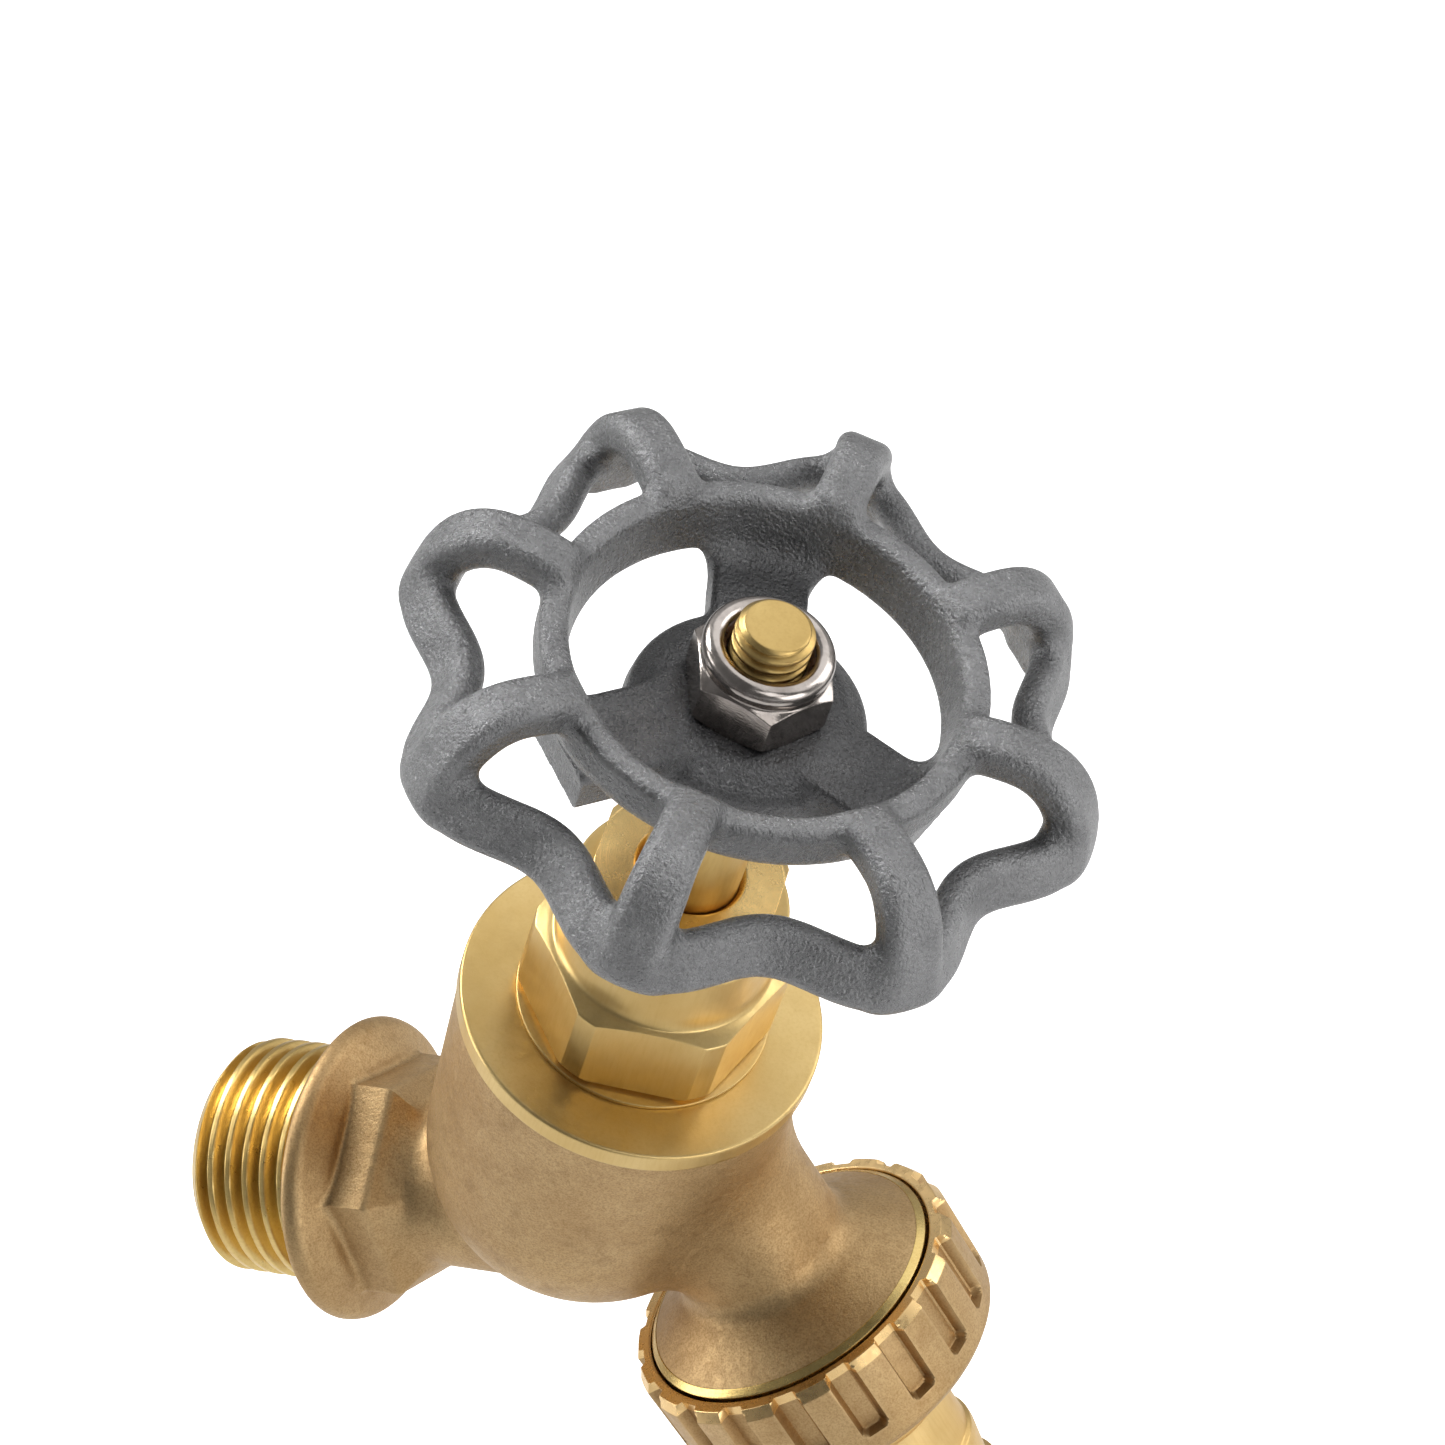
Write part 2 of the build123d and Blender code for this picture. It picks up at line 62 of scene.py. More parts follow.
MM = 0.001
BUMP_SEED = 1

# ---- studio, in metres ----
CAMERA_PLACE = Vector((0.19604, -0.20212, 0.24395))
CAMERA_RIGHT = Vector((0.88442, 0.38963, -0.25691))
CAMERA_UP = Vector((-0.06742, 0.65136, 0.75577))
CAMERA_BACK = CAMERA_RIGHT.cross(CAMERA_UP)
CAMERA_LENS = 103.38
WORLD_BRIGHT = 0.42
WORLD_DIM = 0.13
FLOOR_HALF_SIDE = 6.0
FLOOR_DROP = 0.10
# direction along the camera's right, up and back, then distance, width, height and watts
LIGHTS = {
    "key_box": ((-0.6, 0.8, 0.1), 0.7, 0.25, 0.25, 3.0),
    "left_box": ((-0.95, 0.15, 0.0), 0.7, 0.25, 0.6, 1.7),
    "right_box": ((0.85, 0.5, 0.1), 0.7, 0.3, 0.5, 1.1),
    "top_box": ((0.4, 0.85, 0.3), 0.8, 1.1, 0.7, 2.1),
    "front_box": ((0.35, 0.1, 0.9), 0.9, 0.4, 0.4, 0.8),
    "low_card": ((0.7, -0.3, 0.6), 0.8, 0.5, 0.5, 2.2),
}

# ---- layout, as in the CAD ----
SHOULDER_TO_STEM = 21.5
STEM_LEAN = 30.0
SPOUT_LEAN = 15.0
Z_SPOUT = 22.9

# ---- bowl ----
RIM_R = 15.08
Z_RIM = 29.5
RIM_HEIGHT = 2.0
Z_CAST_TOP = Z_RIM - RIM_HEIGHT
BOWL_R = 14.3
CAST_TOP_R = 14.9
Z_BOWL = 10.0
CHAMBER_R = 9.6
Z_CHAMBER_FLOOR = 4.5
BONNET_SEAT_R = 10.3
Z_BONNET_SEAT = 19.5
PORT_R = 5.5
WATERWAY_R = 5.0

# ---- inlet ----
SHOULDER_R = 13.5
SHOULDER_EDGE = 1.5
SHOULDER_ROOT = 3.2
SHOULDER_SLOPE = 1.9
COLLAR_HALF_FLATS = 9.4
COLLAR_END = 6.9
COLLAR_SLOPE = 1.1
COLLAR_TAIL = 8.6
NECK_R = 7.5
INLET_THREAD_R = 10.4775
INLET_THREAD_LEN = 12.0
INLET_BORE_R = 7.3
INLET_BORE_LEN = 5.0
PIPE_THREAD_DEPTH = 1.16
PIPE_PITCH = 1.814

# ---- spout ----
SPOUT_TUBE_R = 7.45
SPOUT_BORE_R = 5.0
S_TUBE_START = 4.0
S_SPOUT_BORE = 8.0
SLEEVE_PLAY = 0.4
S_SLEEVE = 19.0
S_LIP = 28.3
LIP_R = 13.4
SKIRT_R = 12.85
SKIRT_EDGE_R = 13.1
SKIRT_SLOPE = 1.45
SKIRT_TALL = 5.2
UNION_THREAD_R = 13.2205
S_SPOUT_END = S_LIP + 5.2

# ---- bonnet and gland ----
BONNET_SHANK_R = 9.95
BONNET_BASE_R = 10.5
RELIEF_R = 9.0
Z_RELIEF = 27.7
Z_WEB_FOOT = 35.4
Z_WEB_TOP = 36.4
BONNET_BORE_R = 6.05
BONNET_FLATS = 19.0
BONNET_TURN = 18.0
Z_FLATS_FOOT = 29.9
Z_FLATS_TOP = 40.5
FLATS_BEVEL = 0.4
PACKING_R = 6.0
COLLAR_R = 8.8
Z_COLLAR_TOP = 44.3
GLAND_FLATS = 14.7
GLAND_TURN = 38.7
GLAND_CORNER_R = 8.2
GLAND_THREAD_R = 5.98
Z_GLAND_FOOT = 41.9
Z_GLAND_TOP = 47.6
STEM_HOLE_R = 4.05

# ---- stem ----
STEM_R = 4.0
STEM_THREAD_R = 6.0
STEM_THREAD_DEPTH = 1.0
STEM_PITCH = 2.0
Z_STEM_FOOT = 12.55
Z_STEM_THREAD_TOP = 29.2
SQUARE_HALF_FLATS = 3.0
SQUARE_CORNER_R = 3.96
Z_SQUARE = 65.5
Z_STEM_TIP = 77.3
TIP_THREAD_R = 3.0
TIP_THREAD_DEPTH = 0.55
TIP_PITCH = 1.0
TIP_CHAMFER_R = 2.47
DISC_HOLE_R = 3.0

# ---- handwheel and lock nut ----
Z_HUB_TOP = 69.3
HUB_R = 9.1
HUB_SECTION = [(-1, 65.6), (HUB_R + 0.4, 65.6), (HUB_R, 67.9), (6.95, Z_HUB_TOP), (-1, Z_HUB_TOP)]
SQUARE_HOLE_HALF = 3.03
Z_WEB = 67.3
WEB_HALF_WIDTH = 3.75
WEB_HALF_THICK = 1.7
WEB_REACH = 15.8
WEB_TURN = 109.5
WEB_COUNT = 3
RING_SECTION = [(14.1, 68.9), (17.05, 70.7), (17.0, 74.35), (14.85, 74.35)]
LOBE_TURN = 4.2
LOBES = 8
ARM_INNER_R = 11.2
ARM_START_R = 15.3
ARM_TOP_R = 20.2
Z_ARM = 74.3
ARM_HALF_THICK = 1.75
ARM_HALF_WIDTH = 2.0
ARM_SPREAD = 0.3
LOBE_SLOPE = 0.77
LOBE_BELOW = 24.2
RIM_LOBE_R = 25.7
RIM_VALLEY_R = 21.9
Z_WHEEL_RIM = 67.9
Z_RIM_FOOT = 65.6
RIM_SLANT = radians(26)
RIM_HALF_THICK = 1.35
RIM_HALF_TALL = 2.3
RIM_ROUND = 1.2
NUT_FLATS = 10.0
NUT_TURN = -62.0
NUT_CORNER_R = 5.77
NUT_COLLAR_R = 4.85
NYLON_R = 4.2

# ---- union nut and hose tail ----
NUT_RIB_R = 15.2
NUT_FOOT_R = 15.0
NUT_FLOOR_R = 14.15
NUT_MOUTH_R = 13.47
NUT_THREAD_R = 13.27
NUT_LENGTH = 9.6
RIBS = 18
RIB_TURN = 6.4
GROOVE_HALF_WIDTH = 1.12
GROOVE_CORNER = 0.6
GROOVE_END = 7.0
TAIL_BORE_R = 4.9
TAIL_FLANGE_R = 12.6
TAIL_FLANGE_THICK = 1.5
TAIL_R = 6.45
TAIL_COLLAR_R = 8.0
BARBS = 3
BARB_PITCH = 5.6
BARB_R = 6.8
BARB_ROOT_R = 6.1


# ---------------------------------------------------------------- frames
def axis_frame(origin, axis, ahead):
    """Placement of a local frame whose Z follows axis and whose X leans towards ahead."""
    z = Vector(axis).normalized()
    y = z.cross(Vector(ahead)).normalized()
    x = y.cross(z)
    turn = Matrix((x, y, z)).transposed().to_4x4()
    return Matrix.Translation(Vector(origin) * MM) @ turn


lean, tilt = radians(STEM_LEAN), radians(SPOUT_LEAN)
stem_axis = Vector((sin(lean), 0, cos(lean)))
spout_axis = Vector((sin(tilt), 0, -cos(tilt)))
stem_origin = Vector((SHOULDER_TO_STEM, 0, 0))
spout_origin = stem_origin + stem_axis * Z_SPOUT
STEM = axis_frame(stem_origin, stem_axis, (1, 0, 0))
SPOUT = axis_frame(spout_origin, spout_axis, (1, 0, 0))
INLET = axis_frame((0, 0, 0), (-1, 0, 0), (0, 1, 0))


# ---------------------------------------------------------------- meshes
def add_piece(name, points, faces, place, body, material, stands_for=(), sharp=30.0):
    """Makes an object from points in millimetres and lets it ride on a CAD body."""
    mesh = bpy.data.meshes.new(name)
    mesh.from_pydata((points * MM).tolist(), [], faces.tolist())
    mesh.transform(place)
    tidy = bmesh.new()
    tidy.from_mesh(mesh)
    bmesh.ops.remove_doubles(tidy, verts=tidy.verts, dist=1e-6)
    bmesh.ops.recalc_face_normals(tidy, faces=tidy.faces)
    tidy.to_mesh(mesh)
    tidy.free()
    mesh.shade_smooth()
    mesh.set_sharp_from_angle(angle=radians(sharp))
    mesh.materials.append(material)
    piece = bpy.data.objects.new(name, mesh)
    bpy.context.scene.collection.objects.link(piece)
    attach(piece, body)
    if stands_for:
        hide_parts(*stands_for)


def soft_outline(corners, step):
    """Dense (radius, height) points round a closed outline, each corner cut back by its rounding."""
    dense = []
    for k, (r, z, cut) in enumerate(corners):
        corner = np.array((r, z))
        if cut == 0:
            dense.append(corner)
            continue
        before = np.array(corners[k - 1][:2])
        after = np.array(corners[(k + 1) % len(corners)][:2])
        start = corner + (before - corner) * min(0.5, cut / np.linalg.norm(before - corner))
        end = corner + (after - corner) * min(0.5, cut / np.linalg.norm(after - corner))
        for t in np.linspace(0, 1, 11):
            dense.append((1 - t) ** 2 * start + 2 * t * (1 - t) * corner + t * t * end)
    rows = []
    for a, b in zip(dense, dense[1:] + dense[:1]):
        parts = max(1, int(np.ceil(np.linalg.norm(b - a) / step)))
        for k in range(parts):
            rows.append(a + (b - a) * k / parts)
    return np.array(rows)


def turned(name, corners, place, body, material, stands_for=(), cut=None,
           columns=192, step=0.4, turn=0.0, sharp=10.5):
    """A turned piece. cut(angle, height) gives the radius its outside is cut back to."""
    rows = soft_outline(corners, step)
    angle = radians(turn) + np.arange(columns) * 2 * pi / columns
    radius = np.repeat(rows[:, :1], columns, axis=1)
    height = np.repeat(rows[:, 1:], columns, axis=1)
    if cut is not None:
        radius = np.minimum(radius, cut(angle[None, :], height))
    points = np.stack([radius * np.cos(angle), radius * np.sin(angle), height], axis=2)
    i = np.arange(len(rows))[:, None]
    j = np.arange(columns)[None, :]
    here, there = i * columns, (i + 1) % len(rows) * columns
    beside = (j + 1) % columns
    faces = np.stack([here + j, there + j, there + beside, here + beside], axis=2)
    points, faces = points.reshape(-1, 3), faces.reshape(-1, 4)
    add_piece(name, points, faces, place, body, material, stands_for, sharp)


# ---------------------------------------------------------------- what turned pieces are cut to
UNCUT = 99.0    # a radius past every piece, for heights where nothing is cut away


def smooth_step(x):
    """0 below 0, 1 above 1, and an S-shaped rise between."""
    x = np.clip(x, 0, 1)
    return x * x * (3 - 2 * x)


def hexagon(flats, turn):
    """Six flats, with a corner at turn degrees."""
    def cut(angle, height):
        wedge = (angle - radians(turn)) % (pi / 3) - pi / 6
        return flats / 2 / np.cos(wedge) + 0 * height
    return cut


def thread(crest_r, depth, pitch, bottom, top, land=0.22, root=0.1):
    """A right-hand outside thread between two heights, fading out at both ends."""
    def cut(angle, height):
        across = np.abs((height / pitch - angle / (2 * pi)) % 1 * 2 - 1)
        groove = smooth_step((across - land) / (1 - land - root))
        fade = smooth_step((height - bottom) / pitch * 2) * smooth_step((top - height) / pitch * 2)
        return crest_r - depth * groove * fade
    return cut


def nut_grooves(angle, height):
    """Slots down the outside of the union nut, open at its mouth and round-cornered below."""
    gap = 2 * pi / RIBS
    across = np.abs((angle - radians(RIB_TURN) + gap / 2) % gap - gap / 2) * NUT_RIB_R
    past_side = across - (GROOVE_HALF_WIDTH - GROOVE_CORNER)
    past_end = height - (S_LIP + GROOVE_END - GROOVE_CORNER)
    outside = np.hypot(np.maximum(past_side, 0), np.maximum(past_end, 0))
    distance = outside + np.minimum(np.maximum(past_side, past_end), 0) - GROOVE_CORNER
    wall = smooth_step(distance / 0.55 + 0.35)
    return NUT_FLOOR_R + (NUT_RIB_R + 0.3 - NUT_FLOOR_R) * wall


# ---------------------------------------------------------------- distance fields
def smooth_union(a, b, k):
    """Both a and b, with a fillet where their distances are within k of each other."""
    h = np.maximum(k - np.abs(a - b), 0) / k
    return np.minimum(a, b) - h * h * k / 4


def smooth_cut(a, b, k):
    """Where both a and b are inside, with the edge between them rounded."""
    return -smooth_union(-a, -b, k)


def rounded_box_2d(x, y, half_x, half_y, corner):
    """Signed distance to a rectangle with rounded corners."""
    qx, qy = np.abs(x) - half_x + corner, np.abs(y) - half_y + corner
    return np.hypot(np.maximum(qx, 0), np.maximum(qy, 0)) + np.minimum(np.maximum(qx, qy), 0) - corner


def oval_2d(x, y, half_x, half_y):
    """Close to the distance to an ellipse."""
    near = np.maximum(np.hypot(x / half_x, y / half_y), 1e-3)
    steep = np.maximum(np.hypot(x / half_x ** 2, y / half_y ** 2), 1e-4)
    return near * (near - 1) / steep


def polygon_2d(x, y, corners, rounding):
    """Signed distance to a convex polygon given anticlockwise, edges rounded by smooth cuts."""
    distance = None
    for (ax, ay), (bx, by) in zip(corners, corners[1:] + corners[:1]):
        length = np.hypot(bx - ax, by - ay)
        side = ((x - ax) * (by - ay) - (y - ay) * (bx - ax)) / length
        distance = side if distance is None else smooth_cut(distance, side, rounding)
    return distance


def to_frame(x, y, z, origin, x_axis, y_axis, z_axis):
    """Coordinates, in a local frame, of points given in the part's frame."""
    dx, dy, dz = x - origin[0], y - origin[1], z - origin[2]
    return tuple(dx * a[0] + dy * a[1] + dz * a[2] for a in (x_axis, y_axis, z_axis))


def surface_nets(field, low, high, step):
    """A quad mesh of the surface where field(x, y, z) crosses zero, inside a box."""
    axes = [np.arange(a, b + step, step, dtype=np.float32) for a, b in zip(low, high)]
    x, y, z = np.meshgrid(*axes, indexing="ij", sparse=True)
    values = field(x, y, z)
    inside = values < 0
    corner_sum = np.zeros([n - 1 for n in values.shape], np.uint8)
    corners = [(i, j, k) for i in (0, 1) for j in (0, 1) for k in (0, 1)]
    nx, ny, nz = values.shape
    for i, j, k in corners:
        corner_sum += inside[i:nx - 1 + i, j:ny - 1 + j, k:nz - 1 + k]
    cells = np.argwhere((corner_sum > 0) & (corner_sum < 8))
    number = np.zeros(corner_sum.shape, np.int32)
    number[tuple(cells.T)] = np.arange(len(cells))
    corner_values = np.stack([values[tuple((cells + c).T)] for c in corners], axis=1)
    total, crossings = np.zeros((len(cells), 3)), np.zeros(len(cells))
    for a in range(8):
        for b in range(a + 1, 8):
            ca, cb = np.array(corners[a]), np.array(corners[b])
            if np.abs(ca - cb).sum() != 1:
                continue
            va, vb = corner_values[:, a], corner_values[:, b]
            crossed = (va < 0) != (vb < 0)
            t = np.where(crossed, va / np.where(crossed, va - vb, 1), 0)
            total += np.where(crossed[:, None], ca + t[:, None] * (cb - ca), 0)
            crossings += crossed
    points = np.array(low) + (cells + total / crossings[:, None]) * step
    faces = []
    for axis in range(3):
        u, v = [a for a in range(3) if a != axis]
        lower = [slice(None)] * 3
        upper = [slice(None)] * 3
        lower[axis], upper[axis] = slice(None, -1), slice(1, None)
        edges = np.argwhere(inside[tuple(lower)] != inside[tuple(upper)])
        edges = edges[(edges[:, u] > 0) & (edges[:, v] > 0)]
        one_u, one_v = np.eye(3, dtype=int)[u], np.eye(3, dtype=int)[v]
        around = [edges - one_u - one_v, edges - one_v, edges, edges - one_u]
        faces.append(np.stack([number[tuple(c.T)] for c in around], axis=1))
    return settle(field, points, step), np.concatenate(faces)


def settle(field, points, step):
    """Moves points onto the zero surface along its slope."""
    reach = step * 0.1
    for _ in range(3):
        value = field(*points.T)
        slope = np.stack([
            field(*(points + np.eye(3)[a] * reach).T) - value for a in range(3)
        ], axis=1) / reach
        size = np.maximum((slope ** 2).sum(axis=1), 0.05)
        move = np.clip(value / size, -step, step)[:, None] * slope
        points = points - np.clip(move, -step * 0.7, step * 0.7)
    return points


# ---------------------------------------------------------------- body casting
stem_x = np.array((cos(lean), 0, -sin(lean)))
spout_x = np.array((cos(tilt), 0, sin(tilt)))


def body_field(x, y, z):
    """Outside of the casting, less its bores. x, y, z are in the part's frame."""
    bx, by, bz = to_frame(x, y, z, stem_origin, stem_x, (0, 1, 0), stem_axis)
    sx, sy, sz = to_frame(x, y, z, spout_origin, spout_x, (0, -1, 0), spout_axis)
    br, sr = np.hypot(bx, by), np.hypot(sx, sy)
    nr = np.hypot(y, z)
    body = bowl(br, bz)
    body = smooth_union(body, spout_shape(sr, sz), 3.0)
    body = smooth_union(body, inlet_shape(x, y, z, nr), 2.6)
    body = np.maximum(body, bz - Z_CAST_TOP - 0.2)
    bores = [
        np.maximum(br - CHAMBER_R, Z_CHAMBER_FLOOR - bz),
        np.maximum(br - BONNET_SEAT_R, Z_BONNET_SEAT - bz),
        np.maximum(br - PORT_R, np.maximum(-bz, bz - Z_BOWL)),
        np.maximum(nr - WATERWAY_R, x - SHOULDER_TO_STEM),
        np.maximum(nr - INLET_BORE_R - SLEEVE_PLAY, x - INLET_BORE_LEN),
        np.maximum(sr - SPOUT_BORE_R - SLEEVE_PLAY, S_SPOUT_BORE - sz),
    ]
    for bore in bores:
        body = np.maximum(body, -bore)
    return body


def bowl(r, z):
    """Half a ball under a barrel that widens a little towards the rim.

    The union leaves the bowl itself alone. It only shortens the distance well outside the
    barrel a little, which fills the joins with the spout and the inlet slightly more.
    """
    ball = np.sqrt(r ** 2 + (z - Z_BOWL) ** 2) - BOWL_R
    barrel_r = BOWL_R + (CAST_TOP_R - BOWL_R) * (z - Z_BOWL) / (Z_CAST_TOP - Z_BOWL)
    outside = np.where(z < Z_BOWL, ball, r - barrel_r)
    barrel = np.maximum(r - barrel_r, Z_BOWL - z)
    return smooth_union(outside, np.maximum(barrel, 0.5), 0.2)


def spout_shape(r, s):
    """The spout tube and the skirt that flares to its lip."""
    tube = np.maximum(r - SPOUT_TUBE_R, np.maximum(S_TUBE_START - s, s - S_LIP))
    flare = (r - SKIRT_EDGE_R - SKIRT_SLOPE * (s - S_LIP + 0.2)) / np.hypot(1, SKIRT_SLOPE)
    skirt = smooth_cut(flare, r - SKIRT_R, 0.3)
    skirt = np.maximum(skirt, s - S_LIP + 0.05)
    skirt = smooth_cut(skirt, S_LIP - SKIRT_TALL - s, 0.5)
    return smooth_union(tube, skirt, 1.2)


def inlet_shape(x, y, z, r):
    """The neck, the six-sided collar and the shoulder the thread stops against."""
    end = np.sqrt(r ** 2 + np.maximum(x - SHOULDER_TO_STEM, 0) ** 2)
    neck = np.maximum(end - NECK_R, -x)
    wedge = (np.arctan2(z, y) + pi / 6) % (pi / 3) - pi / 6
    flat = r * np.cos(wedge)
    slope = (r - SHOULDER_R + SHOULDER_SLOPE * (x - SHOULDER_EDGE)) / np.hypot(1, SHOULDER_SLOPE)
    shoulder = smooth_cut(r - SHOULDER_R, smooth_cut(slope, x - SHOULDER_ROOT, 0.3), 0.9)
    shoulder = smooth_cut(shoulder, 0.02 - x, 0.6)
    taper = flat - COLLAR_HALF_FLATS + 0.1 + COLLAR_SLOPE * (x - COLLAR_END)
    taper = taper / np.hypot(1, COLLAR_SLOPE)
    collar = smooth_cut(flat - COLLAR_HALF_FLATS, taper, 0.35)
    collar = np.maximum(smooth_cut(collar, x - COLLAR_TAIL, 0.5), 0.3 - x)
    return smooth_union(smooth_union(shoulder, collar, 0.5), neck, 1.8)


# ---------------------------------------------------------------- handwheel casting
def wheel_field(x, y, z):
    """Hub, webs, ring, arms and rim of the handwheel. x, y, z are in the stem frame."""
    r, angle = np.hypot(x, y), np.arctan2(y, x)
    lobe = (angle - radians(LOBE_TURN) + pi / LOBES) % (2 * pi / LOBES) - pi / LOBES
    web = (angle - radians(WEB_TURN) + pi / WEB_COUNT) % (2 * pi / WEB_COUNT) - pi / WEB_COUNT
    hub = polygon_2d(r, z, HUB_SECTION, 0.5)
    web_plate = rounded_box_2d(r * np.sin(web), z - Z_WEB, WEB_HALF_WIDTH, WEB_HALF_THICK, 0.5)
    web_plate = np.maximum(web_plate, r * np.cos(web) - WEB_REACH)
    ring = polygon_2d(r, z, RING_SECTION, 0.9)
    inner = smooth_union(smooth_union(hub, web_plate, 0.6), ring, 2.2)
    arm = arm_shape(r * np.cos(lobe), r * np.sin(lobe), z)
    outer = smooth_union(arm, rim_shape(r, lobe, z), 1.4)
    wheel = smooth_union(inner, outer, 1.0)
    square_hole = np.maximum(np.abs(x + y), np.abs(x - y)) / np.sqrt(2) - SQUARE_HOLE_HALF
    return np.maximum(wheel, -square_hole)


def arm_shape(along, across, z):
    """One arch: up out of the ring, over, and down to a lobe whose lower outside is cut at a slope."""
    beyond = along - ARM_TOP_R
    reach = np.where(beyond > 0, RIM_LOBE_R - 0.2 - ARM_TOP_R, ARM_TOP_R - ARM_INNER_R)
    drop = Z_ARM - Z_WHEEL_RIM
    off_path = oval_2d(np.abs(beyond), np.maximum(z - Z_WHEEL_RIM, 0), reach, drop)
    half_width = ARM_HALF_WIDTH + ARM_SPREAD * smooth_step((along - 20) / 6)
    arm = rounded_box_2d(off_path, across, ARM_HALF_THICK, half_width, 1.2)
    arm = smooth_cut(arm, ARM_START_R - along, 0.8)
    arm = smooth_cut(arm, (along - LOBE_SLOPE * z + LOBE_BELOW) / np.hypot(1, LOBE_SLOPE), 1.2)
    return smooth_cut(arm, Z_RIM_FOOT - z, 1.0)


def rim_shape(r, lobe, z):
    """A slanted bar, its top leaning in, that waves in at the valleys and out at the lobes."""
    mean, wave = (RIM_LOBE_R + RIM_VALLEY_R) / 2, (RIM_LOBE_R - RIM_VALLEY_R) / 2
    path = mean + wave * np.cos(LOBES * lobe)
    slant = wave * LOBES * np.sin(LOBES * lobe) / mean
    off_path = (r - path) / np.sqrt(1 + slant ** 2)
    tall = z - Z_WHEEL_RIM
    through = off_path * cos(RIM_SLANT) + tall * sin(RIM_SLANT)
    along = tall * cos(RIM_SLANT) - off_path * sin(RIM_SLANT)
    return rounded_box_2d(through, along, RIM_HALF_THICK, RIM_HALF_TALL, RIM_ROUND)


def roughen(points, scale, height):
    """Small real bumps, along a direction that varies over the surface, the same each run."""
    noise.seed_set(BUMP_SEED)
    moved = points.copy()
    for k, p in enumerate(points):
        moved[k] += np.array(noise.noise_vector(Vector(p) / scale)) * height
    return moved


# ---------------------------------------------------------------- materials
class Graph:
    """Short calls for building one material out of nodes."""

    def __init__(self, name, frame_of_piece=Matrix.Identity(4)):
        self.material = bpy.data.materials.new(name)
        self.material.use_nodes = True
        self.tree = self.material.node_tree
        self.surface = self.tree.nodes["Principled BSDF"]
        to_piece = frame_of_piece.inverted()
        local = self.node("ShaderNodeMapping", vector_type="POINT")
        self.put(local.inputs["Vector"], self.node("ShaderNodeTexCoord").outputs["Object"])
        local.inputs["Location"].default_value = to_piece.translation / MM
        local.inputs["Rotation"].default_value = to_piece.to_euler()
        local.inputs["Scale"].default_value = (1 / MM, 1 / MM, 1 / MM)
        self.at = local.outputs[0]

    def node(self, kind, **settings):
        made = self.tree.nodes.new(kind)
        for key, value in settings.items():
            setattr(made, key, value)
        return made

    def put(self, socket, value):
        """Links value to a socket, or sets it when value is a plain number or colour."""
        if isinstance(value, bpy.types.NodeSocket):
            self.tree.links.new(value, socket)
        elif isinstance(value, tuple) and len(value) == 3:
            socket.default_value = (*value, 1) if socket.type == "RGBA" else value
        else:
            socket.default_value = value

    def math(self, operation, a, b=0.0):
        made = self.node("ShaderNodeMath", operation=operation)
        self.put(made.inputs[0], a)
        self.put(made.inputs[1], b)
        return made.outputs[0]

    def noise(self, scale, detail=3.0, stretch=(1, 1, 1), rough=0.55):
        """Noise whose grains are about 1 / scale millimetres across, from 0 to 1."""
        stretched = self.node("ShaderNodeMapping")
        self.put(stretched.inputs["Vector"], self.at)
        stretched.inputs["Scale"].default_value = stretch
        made = self.node("ShaderNodeTexNoise")
        self.put(made.inputs["Vector"], stretched.outputs[0])
        made.inputs["Scale"].default_value = scale
        made.inputs["Detail"].default_value = detail
        made.inputs["Roughness"].default_value = rough
        return made.outputs["Fac"]

    def spread(self, value, low, high, to_low=0.0, to_high=1.0):
        """Maps low..high to to_low..to_high, held at both ends."""
        made = self.node("ShaderNodeMapRange")
        made.inputs["From Min"].default_value = low
        made.inputs["From Max"].default_value = high
        made.inputs["To Min"].default_value = to_low
        made.inputs["To Max"].default_value = to_high
        self.put(made.inputs["Value"], value)
        return made.outputs[0]

    def mix(self, share, a, b):
        made = self.node("ShaderNodeMix", data_type="RGBA")
        self.put(made.inputs["Factor"], share)
        self.put(made.inputs[6], a)
        self.put(made.inputs[7], b)
        return made.outputs[2]

    def edges(self, low, high):
        """1 on sharp outside edges, 0 elsewhere."""
        return self.spread(self.node("ShaderNodeNewGeometry").outputs["Pointiness"], low, high)

    def hollows(self, reach):
        """1 in open places, falling to 0 in corners."""
        made = self.node("ShaderNodeAmbientOcclusion", samples=4)
        made.inputs["Distance"].default_value = reach * MM
        return made.outputs["AO"]

    def polar(self):
        """Radius and height in the frame the material was made for."""
        parts = self.node("ShaderNodeSeparateXYZ")
        self.put(parts.inputs[0], self.at)
        x, y, z = parts.outputs
        square = self.math("ADD", self.math("MULTIPLY", x, x), self.math("MULTIPLY", y, y))
        return self.math("SQRT", square), z

    def bump(self, height, distance, under=None, strength=1.0):
        made = self.node("ShaderNodeBump")
        made.inputs["Distance"].default_value = distance * MM
        self.put(made.inputs["Strength"], strength)
        self.put(made.inputs["Height"], height)
        if under is not None:
            self.put(made.inputs["Normal"], under)
        return made.outputs[0]

    def soft_edges(self, radius):
        made = self.node("ShaderNodeBevel", samples=4)
        made.inputs["Radius"].default_value = radius * MM
        return made.outputs[0]

    def finish(self, color, roughness, normal, metallic=1.0):
        self.put(self.surface.inputs["Base Color"], color)
        self.put(self.surface.inputs["Roughness"], roughness)
        self.put(self.surface.inputs["Metallic"], metallic)
        self.put(self.surface.inputs["Normal"], normal)
        return self.material


def linear(red, green, blue):
    """A colour given in the usual 0..255 screen steps, as Blender wants it."""
    return tuple(((step / 255 + 0.055) / 1.055) ** 2.4 for step in (red, green, blue))


